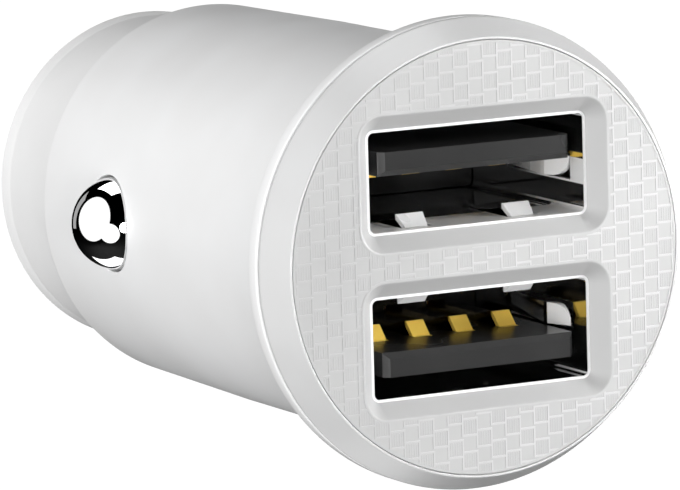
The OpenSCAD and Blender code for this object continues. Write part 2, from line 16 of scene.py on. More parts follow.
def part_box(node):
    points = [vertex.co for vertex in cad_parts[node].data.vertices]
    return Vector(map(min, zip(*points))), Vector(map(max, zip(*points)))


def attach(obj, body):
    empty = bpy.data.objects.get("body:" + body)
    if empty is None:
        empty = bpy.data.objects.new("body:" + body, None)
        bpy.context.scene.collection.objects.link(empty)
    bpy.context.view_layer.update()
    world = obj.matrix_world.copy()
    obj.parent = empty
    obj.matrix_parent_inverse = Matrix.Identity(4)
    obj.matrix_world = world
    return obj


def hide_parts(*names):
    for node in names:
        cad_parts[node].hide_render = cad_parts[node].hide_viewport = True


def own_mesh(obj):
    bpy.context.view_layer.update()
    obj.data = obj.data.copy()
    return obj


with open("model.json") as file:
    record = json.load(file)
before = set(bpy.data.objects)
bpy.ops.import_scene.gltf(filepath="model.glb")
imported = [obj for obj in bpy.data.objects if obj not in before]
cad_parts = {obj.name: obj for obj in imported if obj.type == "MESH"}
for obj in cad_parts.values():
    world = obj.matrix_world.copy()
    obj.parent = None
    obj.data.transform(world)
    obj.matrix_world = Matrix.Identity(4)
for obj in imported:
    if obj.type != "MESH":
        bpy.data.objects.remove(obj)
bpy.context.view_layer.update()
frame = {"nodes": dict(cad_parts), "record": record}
MM = 0.001
TINY = 1e-6


def node_box(node):
    """Lowest and highest corners of a CAD node, in millimetres."""
    low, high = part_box(node)
    return [c / MM for c in low], [c / MM for c in high]


# Sizes taken from the frame
flange_low, flange_high = node_box("barrel_housing")
flange_r = flange_high[0]
flange_y = flange_low[1]
barrel_len = flange_high[1]
plate_low, plate_high = node_box("face_plate")
face_r = plate_high[0]
face_y = plate_low[1]
mouth_y = plate_high[1]
tongue_y = node_box("usb_insulator_upper")[0][1]
contact_low, contact_high = node_box("side_contact_right")
contact_y = (contact_low[1] + contact_high[1]) / 2
nose_low, nose_high = node_box("nose_cap")
nose_end_y = nose_high[1]
tip_low, tip_high = node_box("centre_tip")
tip_end_y = tip_high[1]

# Walls and steps of the housing
flange_h = 1.76
barrel_r = flange_r - flange_h
barrel_wall = 0.82
bore_r = barrel_r - barrel_wall
barrel_draft = 0.17
bore_draft = 0.1
rear_wall = 1.2
step_w = 1.3
step_r = bore_r + step_w
step_depth = 0.55
nose_step = 1.35
spigot_r = bore_r - bore_draft - nose_step
seam = 0.1
run = 0.1
fit = 0.05

# Side contacts and their holes
head_r = 2.5
head_wall = 0.4
skirt_w = 0.6
skirt_r = head_r + skirt_w
skirt_t = 0.45
hole_r = head_r + run
hole_rim = 0.08
hole_margin = 1
straight_len = contact_y - head_r - hole_margin

# Bezel
bezel_slope = 0.88
bezel_front_r = flange_r - bezel_slope
seat_gap = 0.03
seat_r = face_r + seat_gap
bezel_edge_h = 0.2
bezel_spigot_t = 0.7

# Ports
port_w = 12.5
port_h = 5.12
port_r = 0.3
port_z = 4.27
lip = 0.14
contact_crest_y = mouth_y + 4.85
finger_crest_y = mouth_y + 1.68
side_crest_y = mouth_y + 3.05
bevel_side = 0.78
bevel_top = 0.8
bevel_r = 1.3
shell_t = 0.3

# Nose and tip
nose_wall = 2
nose_band = 0.9
band_h = 0.14
nose_r = nose_high[0] - band_h
nose_side_t = 1.36
nose_spigot_t = 0.85
snap_h = 0.3
snap_len = 0.45
tip_r = 3.2
tip_wall = 0.7
tip_flange_w = 1.1
tip_room = 0.3

# Coil springs
closed_pitch = 2.1  # of the end turns, in wire radii
side_wire_r = 0.16
side_turns = 6
tip_wire_r = 0.25
tip_turns = 9

# Face and its weave
FACE_EDGE = 0.05
CREASE = 0.05
CREASE_SHARE = 0.08  # of the bevel, taken up by its crease
EDGE_STEPS = 4
CELL_W = 0.84
CELL_H = 0.86
CELL_STEP = 0.645
LINE_W = 0.1
HATCH_W = 0.05
HATCHES = 5
RELIEF = 0.022
HATCH_RELIEF = 0.01
BAND = 0.09

# Fineness of the meshes
COLUMNS = 240
HOLE_COLUMNS = 13
HOLE_RIM_STEPS = 5
BALL_COLUMNS = 160
COIL_STEPS = 48
WIRE_SIDES = 14
HARD_EDGE_ANGLE = math.radians(38)
SOFTENED_ANGLE = math.radians(35)
NEARLY_STRAIGHT = math.radians(89.5)
WELD = 1e-4
FINE_WELD = 1e-5


# Mesh helpers

def quarter_turn(steps):
    """Angles from 0 to 90 degrees."""
    return [math.radians(90 * k / steps) for k in range(steps + 1)]


def arc_corner(before, corner, after, radius, steps):
    """Points that round the corner of an outline with an arc."""
    a = Vector(before) - Vector(corner)
    b = Vector(after) - Vector(corner)
    a.normalize()
    b.normalize()
    half = a.angle(b) / 2
    if radius <= 0 or half > NEARLY_STRAIGHT:
        return [tuple(corner)]
    run_in = radius / math.tan(half)
    centre = Vector(corner) + (a + b).normalized() * (radius / math.sin(half))
    start = Vector(corner) + a * run_in - centre
    end = Vector(corner) + b * run_in - centre
    sweep = start.angle(end)
    turn = 1 if start.x * end.y - start.y * end.x > 0 else -1
    points = []
    for i in range(steps + 1):
        angle = turn * sweep * i / steps
        c, s = math.cos(angle), math.sin(angle)
        spoke = Vector((start.x * c - start.y * s, start.x * s + start.y * c))
        points.append(tuple(centre + spoke))
    return points


def rounded(corners, steps=5):
    """A closed outline from (a, b, corner radius) points."""
    points = []
    count = len(corners)
    for i, (a, b, radius) in enumerate(corners):
        before = corners[i - 1][:2]
        after = corners[(i + 1) % count][:2]
        points += arc_corner(before, (a, b), after, radius, steps)
    return points


def rect_loop(half_w, half_h, radius, centre_z, steps=8):
    """Points (x, z) round a rectangle with round corners, anticlockwise from its right side."""
    points = []
    for quarter in range(4):
        sx = 1 if quarter in (0, 3) else -1
        sz = 1 if quarter in (0, 1) else -1
        for i in range(steps + 1):
            angle = math.radians(90 * (quarter + i / steps))
            points.append((
                sx * (half_w - radius) + radius * math.cos(angle),
                centre_z + sz * (half_h - radius) + radius * math.sin(angle),
            ))
    return points


def circle_loop(radius, count):
    return [
        (radius * math.cos(2 * math.pi * j / count), radius * math.sin(2 * math.pi * j / count))
        for j in range(count)
    ]


def finish_mesh(name, bm, body, paints, weld=WELD):
    """Turns a bmesh in millimetres into a smooth piece in metres that rides on a body."""
    bmesh.ops.remove_doubles(bm, verts=bm.verts, dist=weld)
    loose = [v for v in bm.verts if not v.link_faces]
    bmesh.ops.delete(bm, geom=loose, context="VERTS")
    bmesh.ops.recalc_face_normals(bm, faces=bm.faces)
    bmesh.ops.scale(bm, vec=(MM, MM, MM), verts=bm.verts)
    mesh = bpy.data.meshes.new(name)
    bm.to_mesh(mesh)
    bm.free()
    for paint in paints:
        mesh.materials.append(materials[paint])
    mesh.shade_smooth()
    mesh.set_sharp_from_angle(angle=HARD_EDGE_ANGLE)
    piece = bpy.data.objects.new(name, mesh)
    bpy.context.scene.collection.objects.link(piece)
    weighted = piece.modifiers.new("weighted_normals", "WEIGHTED_NORMAL")
    weighted.keep_sharp = True
    weighted.weight = 100
    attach(piece, body)
    return piece


def revolve(bm, outline, columns, closed=True, windows=()):
    """Turns an outline of (r, y) points about the Y axis. Faces inside a window are left out.

    A window is (first row, last row, half width in columns) and is cut at +X and at -X.
    Returns the rows of vertices.
    """
    rows = []
    for r, y in outline:
        if r < TINY:
            rows.append([bm.verts.new((0, y, 0))] * columns)
            continue
        row = [bm.verts.new((r * c, y, r * s)) for c, s in circle_loop(1, columns)]
        rows.append(row)
    count = len(rows)
    for i in range(count if closed else count - 1):
        below, above = rows[i], rows[(i + 1) % count]
        for j in range(columns):
            k = (j + 1) % columns
            if any(first <= i < last and in_window(j, columns, half)
                   for first, last, half in windows):
                continue
            corners = [below[j], below[k], above[k], above[j]]
            ring = [v for n, v in enumerate(corners) if v is not corners[n - 1]]
            if len(ring) > 2:
                bm.faces.new(ring)
    return rows


def in_window(j, columns, half):
    """Whether column j lies within half columns of +X or of -X."""
    offset = (j + half) % (columns // 2)
    return offset < 2 * half


def window_loop(rows, first, last, half, columns, side):
    """The vertices round a window of a revolved grid, in order."""
    middle = 0 if side > 0 else columns // 2
    low, high = middle - half, middle + half
    loop = [rows[first][j % columns] for j in range(low, high)]
    loop += [rows[i][high % columns] for i in range(first, last)]
    loop += [rows[last][j % columns] for j in range(high, low, -1)]
    loop += [rows[i][low % columns] for i in range(last, first, -1)]
    return loop


def bridge(bm, ring_a, ring_b):
    """Joins two rings with as many vertices each by a band of faces."""
    count = len(ring_a)
    for n in range(count):
        m = (n + 1) % count
        bm.faces.new([ring_a[n], ring_a[m], ring_b[m], ring_b[n]])


def gather(contours):
    """The points of some contours, and each contour as a list of its points' numbers."""
    points, faces = [], []
    for contour in contours:
        faces.append(list(range(len(points), len(points) + len(contour))))
        points += [Vector(p) for p in contour]
    return points, faces


def planar_faces(bm, loops, holes, y):
    """Fills the plane at y inside the loops and outside the holes. Contours are (x, z) points."""
    points, faces = gather(loops + holes)
    result = delaunay_2d_cdt(points, [], faces, 0, TINY, True)
    verts = [bm.verts.new((p.x, y, p.y)) for p in result[0]]
    for face, origin in zip(result[2], result[5]):
        if origin and max(origin) < len(loops):
            bm.faces.new([verts[i] for i in face])


# Materials

DRIFT_SCALE = 160
NOISE_DETAIL = 2.0
COLOUR_SPAN = (0.35, 0.65)
VALUE_SPAN = (0.3, 0.7)
MIRROR_ROUGH = 0.07

# Ramps: the two distances from a place between which a look changes, in millimetres
RIM_RAMP = (0.04, 0.08)  # from the mouth
DEEP_RAMP = (3.2, 3.4)  # from the mouth
CREST_RAMP = (0, 0.1)  # from a steel finger's crest
SIDE_WALL_RAMP = (-0.04, -0.02)  # from a port's side wall
SIDE_FINGER_RAMP = (-1.2, -1.15)  # from a port's side wall
TONGUE_WALL_RAMP = (-0.1, -0.06)  # from the wall beside the tongue
CLEAR_RAMP = (-0.1, -0.14)  # from the walls above and below
GOLD_RAMP = (-0.1, 0.1)  # from a contact's crest
# INSULATOR_RAMP sets where the painted shade deep in the ports sets in
INSULATOR_RAMP = (0.3, 4)  # from the tongue's front
# LINE_RAMP sets where the painted sheen on the weave's lines fades out to the left
LINE_RAMP = (2, -7)  # from the middle of the face

# Light bands on the upper port's right wall, from the port's floor and from the mouth
STRIP = (1.38, 2.7)
FLOOR_LINE = (0.12, 0.22)
STRIP_SOFT = 0.03
STRIP_RAMP = (7, 4.5)

materials = {}


def nodes_of(material):
    material.use_nodes = True
    tree = material.node_tree
    return tree, tree.nodes["Principled BSDF"]


def object_noise(tree, scale, stretch=(1, 1, 1)):
    """Noise fixed to the piece; scale is in features per metre."""
    place = tree.nodes.new("ShaderNodeTexCoord")
    mapping = tree.nodes.new("ShaderNodeMapping")
    mapping.inputs["Scale"].default_value = stretch
    noise = tree.nodes.new("ShaderNodeTexNoise")
    noise.inputs["Scale"].default_value = scale
    noise.inputs["Detail"].default_value = NOISE_DETAIL
    tree.links.new(place.outputs["Object"], mapping.inputs["Vector"])
    tree.links.new(mapping.outputs["Vector"], noise.inputs["Vector"])
    return noise.outputs["Fac"]


def blend_colour(tree, fac, dark, light):
    """A colour that goes from dark to light with the noise."""
    ramp = tree.nodes.new("ShaderNodeValToRGB")
    for element, position, colour in zip(ramp.color_ramp.elements, COLOUR_SPAN, (dark, light)):
        element.position = position
        element.color = (*colour, 1)
    tree.links.new(fac, ramp.inputs["Fac"])
    return ramp.outputs["Color"]


def spread(tree, fac, low, high):
    """A value that goes from low to high with the noise."""
    remap = tree.nodes.new("ShaderNodeMapRange")
    remap.inputs["From Min"].default_value = VALUE_SPAN[0]
    remap.inputs["From Max"].default_value = VALUE_SPAN[1]
    remap.inputs["To Min"].default_value = low
    remap.inputs["To Max"].default_value = high
    tree.links.new(fac, remap.inputs["Value"])
    return remap.outputs["Result"]


def bump(tree, shader, fac, distance):
    node = tree.nodes.new("ShaderNodeBump")
    node.inputs["Strength"].default_value = 1.0
    node.inputs["Distance"].default_value = distance
    tree.links.new(fac, node.inputs["Height"])
    tree.links.new(node.outputs["Normal"], shader.inputs["Normal"])


def surface(name, dark, light, rough, metallic=0.0, grain=0, grain_depth=0.0,
            stretch=(1, 1, 1), coat=0.0, coat_rough=0.2):
    """Makes a material whose colour and roughness drift a little, with a fine grain."""
    material = bpy.data.materials.new(name)
    tree, shader = nodes_of(material)
    shader.inputs["Metallic"].default_value = metallic
    shader.inputs["Coat Weight"].default_value = coat
    shader.inputs["Coat Roughness"].default_value = coat_rough
    drift = object_noise(tree, DRIFT_SCALE, stretch)
    tree.links.new(blend_colour(tree, drift, dark, light), shader.inputs["Base Color"])
    tree.links.new(spread(tree, drift, *rough), shader.inputs["Roughness"])
    if grain_depth:
        bump(tree, shader, object_noise(tree, grain, stretch), grain_depth)
    materials[name] = material


def grey(level, tint=0.0):
    """A grey with a slight warm (+) or cool (-) tint."""
    return (level * (1 + tint), level, level * (1 - tint))


satin = {"grain": 9000, "grain_depth": 2e-7, "coat_rough": 0.25}
surface("barrel_white", grey(0.80), grey(0.83, -0.004), (0.30, 0.36), coat=0.25, **satin)
# Painted shade: bezel_white, face_white and face_hatch are the barrel's white plastic painted
# darker, so that the strong lamps on the face and ports don't make them glare
surface("bezel_white", grey(0.50), grey(0.53, -0.004), (0.30, 0.36), coat=0.25, **satin)
surface("face_white", grey(0.38), grey(0.40), (0.42, 0.5), grain=14000, grain_depth=3e-7)
# face_line paints the weave's raised lines lighter than the cells, a painted highlight for the
# glint on their edges
surface("face_line", grey(0.455), grey(0.48), (0.35, 0.4))
surface("face_hatch", grey(0.40), grey(0.42), (0.42, 0.5))
surface("nose_white", grey(0.79), grey(0.82), (0.32, 0.38), coat=0.2, **satin)
surface("port_steel", grey(0.78), grey(0.84), (0.26, 0.36), metallic=0.25,
        grain=2500, grain_depth=1e-7, stretch=(1, 0.15, 1))
surface("port_black", grey(0.022), grey(0.026), (0.24, 0.28), grain=5000, grain_depth=6e-7)
surface("contact_gold", (0.98, 0.64, 0.10), (1.0, 0.69, 0.12), (0.3, 0.4), metallic=0.1,
        grain=4000, grain_depth=2e-7)
surface("contact_chrome", grey(0.94, -0.003), grey(0.98), (0.02, 0.04), metallic=1)
surface("tip_nickel", grey(0.62, 0.03), grey(0.72, 0.03), (0.12, 0.2), metallic=1)
surface("spring_steel", grey(0.45), grey(0.58), (0.2, 0.32), metallic=1)
surface("tinned_steel", grey(0.55), grey(0.68), (0.25, 0.38), metallic=1)
surface("board_green", (0.01, 0.09, 0.03), (0.015, 0.13, 0.045), (0.3, 0.42),
        grain=3000, grain_depth=1e-6, coat=0.3)
surface("ferrite_grey", grey(0.05), grey(0.09), (0.55, 0.7), grain=6000, grain_depth=4e-6)
surface("copper_wire", (0.55, 0.2, 0.08), (0.72, 0.3, 0.12), (0.22, 0.34), metallic=1,
        grain=3600, grain_depth=2e-5, stretch=(0.02, 0.02, 1))
surface("chip_black", grey(0.015), grey(0.028), (0.45, 0.6), grain=9000, grain_depth=2e-6)
surface("capacitor_can", grey(0.62), grey(0.74), (0.2, 0.34), metallic=1)
surface("fuse_olive", (0.05, 0.07, 0.02), (0.07, 0.1, 0.03), (0.4, 0.55))
surface("chip_tan", (0.36, 0.22, 0.12), (0.46, 0.3, 0.17), (0.4, 0.55))


def edge_mask(tree, value, place, ramp):
    """Goes from 0 to 1 over a ramp, which lies at two distances from a place."""
    remap = tree.nodes.new("ShaderNodeMapRange")
    remap.inputs["From Min"].default_value = (place + ramp[0]) * MM
    remap.inputs["From Max"].default_value = (place + ramp[1]) * MM
    tree.links.new(value, remap.inputs["Value"])
    return remap.outputs["Result"]


def band_mask(tree, value, place, band):
    """1 between two distances from a place, and 0 outside them."""
    start, end = band
    above = edge_mask(tree, value, place, (start, start + STRIP_SOFT))
    below = edge_mask(tree, value, place, (end + STRIP_SOFT, end))
    return combine(tree, "MULTIPLY", above, below)


def combine(tree, operation, *values):
    """The result of a math operation on two or more sockets or numbers, or on one socket."""
    result = values[0]
    for other in values[1:] or (None,):
        node = tree.nodes.new("ShaderNodeMath")
        node.operation = operation
        for socket, value in zip(node.inputs, (result, other)):
            if isinstance(value, (int, float)):
                socket.default_value = value
            elif value is not None:
                tree.links.new(value, socket)
        result = node.outputs["Value"]
    return result


def mix_value(tree, mask, low, high):
    """A value that goes from low, a number or a socket, to the number high with the mask."""
    remap = tree.nodes.new("ShaderNodeMapRange")
    if isinstance(low, float):
        remap.inputs["To Min"].default_value = low
    else:
        tree.links.new(low, remap.inputs["To Min"])
    remap.inputs["To Max"].default_value = high
    tree.links.new(mask, remap.inputs["Value"])
    return remap.outputs["Result"]


def object_axes(tree):
    """The piece's own coordinates. No piece is moved, so they are the frame's too."""
    place = tree.nodes.new("ShaderNodeTexCoord")
    split = tree.nodes.new("ShaderNodeSeparateXYZ")
    tree.links.new(place.outputs["Object"], split.inputs["Vector"])
    return split.outputs


def polish(material, mask, matt_metal):
    """Makes a metal mirror-like where the mask is 1, in place of its plain metallic value."""
    tree, shader = nodes_of(material)
    tree.links.new(mix_value(tree, mask, matt_metal, 1.0), shader.inputs["Metallic"])
    rough = shader.inputs["Roughness"].links[0].from_socket
    tree.links.new(mix_value(tree, mask, rough, MIRROR_ROUGH), shader.inputs["Roughness"])


def fade_colour(material, mask, share):
    """Scales a material's colour down to a share of itself where the mask is 1."""
    tree, shader = nodes_of(material)
    colour = shader.inputs["Base Color"].links[0].from_socket
    scaled = tree.nodes.new("ShaderNodeVectorMath")
    scaled.operation = "SCALE"
    tree.links.new(colour, scaled.inputs[0])
    tree.links.new(mix_value(tree, mask, 1.0, share), scaled.inputs["Scale"])
    tree.links.new(scaled.outputs["Vector"], shader.inputs["Base Color"])


def polish_ports():
    """The ports' steel is mirror-like, apart from its matt mouth, fingers and strips."""
    tree = materials["port_steel"].node_tree
    x, y, z = object_axes(tree)
    across = combine(tree, "ABSOLUTE", x)
    up = combine(tree, "ABSOLUTE", z)
    off_middle = combine(tree, "ABSOLUTE", combine(tree, "SUBTRACT", up, port_z * MM))
    wall_x = port_w / 2
    wall_z = port_h / 2

    past_rim = edge_mask(tree, y, mouth_y, RIM_RAMP)
    side_wall = edge_mask(tree, across, wall_x, SIDE_WALL_RAMP)
    tongue_wall = edge_mask(tree, up, port_z + wall_z, TONGUE_WALL_RAMP)
    wall = combine(tree, "MULTIPLY", combine(tree, "MAXIMUM", side_wall, tongue_wall), past_rim)

    inside = edge_mask(tree, off_middle, wall_z, CLEAR_RAMP)
    behind_crest = edge_mask(tree, y, finger_crest_y, CREST_RAMP)
    deep = combine(tree, "MAXIMUM", edge_mask(tree, y, mouth_y, DEEP_RAMP),
                   combine(tree, "MULTIPLY", behind_crest, inside))

    beside = edge_mask(tree, across, wall_x, SIDE_FINGER_RAMP)
    before_crest = edge_mask(tree, y, side_crest_y, CREST_RAMP[::-1])
    side_finger = combine(tree, "MULTIPLY", beside, inside, before_crest)
    deep = combine(tree, "MULTIPLY", deep, combine(tree, "SUBTRACT", 1.0, side_finger))

    right = edge_mask(tree, x, wall_x, SIDE_FINGER_RAMP)
    near = edge_mask(tree, y, mouth_y, STRIP_RAMP)
    bands = [band_mask(tree, z, port_z - wall_z, band) for band in (STRIP, FLOOR_LINE)]
    strips = combine(tree, "MULTIPLY", combine(tree, "MAXIMUM", *bands), right, near)

    mirror = combine(tree, "MULTIPLY", combine(tree, "MAXIMUM", wall, deep),
                     combine(tree, "SUBTRACT", 1.0, strips))
    polish(materials["port_steel"], mirror, matt_metal=0.2)


def polish_contacts():
    """The gold is mirror-like behind the contacts' crests."""
    tree = materials["contact_gold"].node_tree
    mask = edge_mask(tree, object_axes(tree)["Y"], contact_crest_y, GOLD_RAMP)
    polish(materials["contact_gold"], mask, matt_metal=0.1)


def paint_insulator_shade():
    """Painted shade: the insulators' plastic is painted darker, and made duller, behind the
    tongue's front, for the shade deep in the ports.
    """
    tree, shader = nodes_of(materials["port_black"])
    mask = edge_mask(tree, object_axes(tree)["Y"], tongue_y, INSULATOR_RAMP)
    fade_colour(materials["port_black"], mask, share=0.15)
    dull = mix_value(tree, mask, low=0.5, high=0.2)
    tree.links.new(dull, shader.inputs["Specular IOR Level"])


def paint_line_sheen():
    """Painted highlight: the weave's lines are painted darker towards the face's left, so that
    they stand out more on the right, as their sheen does.
    """
    tree = materials["face_line"].node_tree
    mask = edge_mask(tree, object_axes(tree)["X"], 0, LINE_RAMP)
    fade_colour(materials["face_line"], mask, share=0.87)


polish_ports()
polish_contacts()
paint_insulator_shade()
paint_line_sheen()

for entry in frame["record"]["subparts"]:
    for place in frame["nodes"][entry["node"]].material_slots:
        place.material = materials[entry["material_slot"]]


# Barrel with its flange, its bore and the two holes for the side contacts

def barrel_radius(y):
    slope = barrel_draft / (barrel_len - straight_len)
    return barrel_r - slope * max(0, y - straight_len)


def bore_radius(y):
    return bore_r - bore_draft * (y - flange_y) / (barrel_len - rear_wall - flange_y)


def hole_ring(bm, radius_at, radius, depth, places, side):
    """A ring of vertices round a side hole, at some depth below the wall's surface."""
    ring = []
    for angle in places:
        z = radius * math.cos(angle)
        y = contact_y + radius * math.sin(angle)
        x = math.sqrt(radius_at(y) ** 2 - z ** 2) - depth
        ring.append(bm.verts.new((side * x, y, z)))
    return ring


def hole_patch(bm, loop, radius_at, radius, side, steps=6, crowding=0.8):
    """Fills the window round a side hole down to a ring of the given radius."""
    places = [math.atan2(v.co.y - contact_y, v.co.z) for v in loop]
    last = loop
    for step in range(1, steps + 1):
        share = (step / steps) ** crowding
        ring = []
        for vert, angle in zip(loop, places):
            z = vert.co.z * (1 - share) + radius * math.cos(angle) * share
            y = vert.co.y * (1 - share) + (contact_y + radius * math.sin(angle)) * share
            x = math.sqrt(radius_at(y) ** 2 - z ** 2)
            ring.append(bm.verts.new((side * x, y, z)))
        bridge(bm, last, ring)
        last = ring
    return last, places


def by_angle(ring, places):
    return [v for _, v in sorted(zip(places, ring), key=lambda pair: pair[0])]


def side_hole(bm, outside, inside, side):
    """A hole with a round rim, between a window in the barrel's skin and one in its bore."""
    ring, places = hole_patch(bm, outside, barrel_radius, hole_r + hole_rim, side)
    for turn in quarter_turn(HOLE_RIM_STEPS)[1:]:
        lower = hole_ring(bm, barrel_radius, hole_r + hole_rim * (1 - math.sin(turn)),
                          hole_rim * (1 - math.cos(turn)), places, side)
        bridge(bm, ring, lower)
        ring = lower
    back, back_places = hole_patch(bm, inside, bore_radius, hole_r, side)
    bridge(bm, by_angle(ring, places), by_angle(back, back_places))


def barrel():
    bm = bmesh.new()
    window = 2 * HOLE_COLUMNS
    hole_start = straight_len
    hole_end = 2 * contact_y - straight_len
    span = [hole_start + (hole_end - hole_start) * i / window for i in range(window + 1)]
    front = rounded([
        (step_r, flange_y, 0.06), (flange_r, flange_y, 0.16), (flange_r, 0, 0.16),
        (barrel_r, 0, 0.25), (barrel_r, hole_start, 0), (bore_r, hole_start, 0),
        (bore_r, flange_y + step_depth, 0.05), (step_r, flange_y + step_depth, 0.05),
    ])
    skin_start = next(i for i, p in enumerate(front) if p[1] > hole_start - TINY)
    outline = front[:skin_start]
    first = len(outline)
    outline += [(barrel_radius(y), y) for y in span]
    bore_end = barrel_len - rear_wall
    rear = rounded([
        (barrel_radius(hole_end), hole_end, 0), (barrel_radius(barrel_len), barrel_len, 0.22),
        (spigot_r + fit, barrel_len, 0), (spigot_r + fit, bore_end, 0),
        (bore_radius(bore_end), bore_end, 0), (bore_radius(hole_end), hole_end, 0),
    ])
    outline += rear[1:-1]
    second = len(outline)
    outline += [(bore_radius(y), y) for y in reversed(span)]
    outline += front[skin_start + 2:]
    rows = revolve(bm, outline, COLUMNS, windows=[
        (first, first + window, HOLE_COLUMNS), (second, second + window, HOLE_COLUMNS)])
    for side in (1, -1):
        outside, inside = (window_loop(rows, row, row + window, HOLE_COLUMNS, COLUMNS, side)
                           for row in (first, second))
        side_hole(bm, outside, inside, side)
    piece = finish_mesh("barrel_shell", bm, "housing", ["barrel_white"])
    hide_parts("barrel_housing")


def bezel():
    """The ring round the face, with the web that the two ports pass through."""
    bm = bmesh.new()
    back_y = flange_y - seam
    spigot_out = step_r - fit
    spigot_in = spigot_out - bezel_spigot_t
    spigot_y = flange_y + step_depth - fit
    outline = [(seat_r, mouth_y)] + rounded([
        (seat_r, face_y, 0.04), (bezel_front_r, face_y, 0.1),
        (flange_r, back_y - bezel_edge_h, 0.4), (flange_r, back_y, 0.14),
        (spigot_out, back_y, 0), (spigot_out, spigot_y, 0.05),
        (spigot_in, spigot_y, 0.05), (spigot_in, back_y, 0), (seat_r, mouth_y, 0),
    ])[:-1]
    revolve(bm, outline, COLUMNS, closed=False)
    grow = shell_t + fit
    holes = [rect_loop(port_w / 2 + grow, port_h / 2 + grow, port_r + shell_t, side * port_z)
             for side in (1, -1)]
    planar_faces(bm, [circle_loop(seat_r, COLUMNS)], holes, mouth_y)
    planar_faces(bm, [circle_loop(spigot_in, COLUMNS)], holes, back_y)
    for hole in holes:
        rings = [[bm.verts.new((x, y, z)) for x, z in hole] for y in (mouth_y, back_y)]
        bridge(bm, *rings)
    piece = finish_mesh("bezel_rim", bm, "housing", ["bezel_white"])
    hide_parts("bezel_ring")


# Face plate with its woven relief

# The kinds of outline that split the plate's front, in their order
PLATE, PORT, FIELD, MARGIN, LINE, HATCH = range(6)
BEVEL_FRONT = (port_w / 2 + lip + bevel_side, port_h / 2 + lip + bevel_top, bevel_r)
BEVEL_BACK = (port_w / 2 + lip, port_h / 2 + lip, port_r + lip)


def bevel_contour(share, side, grow=0.0):
    """The bevel's outline, from the face at share 0 to the port's mouth at share 1."""
    w, h, r = (a + (b - a) * share for a, b in zip(BEVEL_FRONT, BEVEL_BACK))
    return rect_loop(w + grow, h + grow, r + grow, side * port_z)


def weave_boxes():
    """Raised lines and fine hatches of the weave, each as (x0, x1, z0, z1)."""
    lines, hatches = [], []
    half = LINE_W / 2
    reach = int(face_r / CELL_W) + 2
    for c in range(-reach, reach):
        x0, x1 = c * CELL_W, (c + 1) * CELL_W
        first = -c * CELL_STEP
        first -= 2 * CELL_H * math.floor((first + face_r) / (2 * CELL_H)) + 2 * CELL_H
        for n in range(int(2 * face_r / (2 * CELL_H)) + 3):
            z0 = first + n * 2 * CELL_H
            z1 = z0 + CELL_H
            lines += [(x0 - half, x1 + half, z - half, z + half) for z in (z0, z1)]
            lines += [(x - half, x + half, z0, z1) for x in (x0, x1)]
            for k in range(HATCHES):
                x = x0 + CELL_W * (k + 1) / (HATCHES + 1)
                hatches.append((x - HATCH_W / 2, x + HATCH_W / 2, z0 + LINE_W, z1 - LINE_W))
    return lines, hatches


def box_contour(box):
    x0, x1, z0, z1 = box
    return [(x0, z0), (x1, z0), (x1, z1), (x0, z1)]


def touches_plate(box):
    """Whether a box lies at least partly on the plate's flat face."""
    x0, x1, z0, z1 = box
    port_half = [BEVEL_FRONT[n] - bevel_r / 3 for n in (0, 1)]
    nearest = math.hypot(max(x0, -x1, 0), max(z0, -z1, 0))
    in_port = max(abs(x0), abs(x1)) < port_half[0] and any(
        max(abs(z0 - side * port_z), abs(z1 - side * port_z)) < port_half[1] for side in (1, -1))
    return nearest < face_r and not in_port


def weave_groups():
    """The outlines that split the plate's front, one group for each kind."""
    lines, hatches = weave_boxes()
    return [
        [circle_loop(face_r - FACE_EDGE, COLUMNS)],
        [bevel_contour(0, side, CREASE) for side in (1, -1)],
        [circle_loop(face_r - FACE_EDGE - BAND, COLUMNS)],
        [bevel_contour(0, side, CREASE + BAND) for side in (1, -1)],
        [box_contour(b) for b in lines if touches_plate(b)],
        [box_contour(b) for b in hatches if touches_plate(b)],
    ]


def level_and_paint(kinds):
    """The level and the material number of a patch that lies in these kinds of outline."""
    if FIELD not in kinds or MARGIN in kinds:
        return 0, 0
    if LINE in kinds:
        return 0, 1
    if HATCH in kinds:
        return 1, 2
    return 2, 0


def woven_front(bm):
    """The plate's front, with the lines and hatches standing out of the cells."""
    groups = weave_groups()
    kind = [g for g, group in enumerate(groups) for _ in group]
    points, faces = gather(loop for group in groups for loop in group)
    result = delaunay_2d_cdt(points, [], faces, 0, FINE_WELD, True)
    levels = [face_y, face_y + RELIEF - HATCH_RELIEF, face_y + RELIEF]
    made = {}

    def vert(i, level):
        if (i, level) not in made:
            p = result[0][i]
            made[i, level] = bm.verts.new((p.x, levels[level], p.y))
        return made[i, level]

    beside = {}
    for patch, origin in zip(result[2], result[5]):
        kinds = {kind[o] for o in origin}
        if PLATE not in kinds or PORT in kinds:
            continue
        level, paint = level_and_paint(kinds)
        bm.faces.new([vert(i, level) for i in patch]).material_index = paint
        for n, i in enumerate(patch):
            beside.setdefault(frozenset((i, patch[n - 1])), []).append(level)
    for (i, j), found in beside.items():
        if len(found) == 2:
            for level in range(min(found), max(found)):
                bm.faces.new([vert(i, level), vert(j, level),
                              vert(j, level + 1), vert(i, level + 1)])


def port_bevels(bm):
    """The bevels down to the ports' mouths, each with a round crease at the face."""
    depth = mouth_y - face_y
    for side in (1, -1):
        rings = []
        for k in range(EDGE_STEPS + 1):
            share = k / EDGE_STEPS
            slope = CREASE_SHARE * share ** 2
            ring = bevel_contour(slope, side, CREASE * (1 - share) ** 2)
            rings.append((ring, face_y + depth * slope))
        rings.append((bevel_contour(1, side), mouth_y))
        loops = [[bm.verts.new((x, y, z)) for x, z in ring] for ring, y in rings]
        for a, b in zip(loops, loops[1:]):
            bridge(bm, a, b)


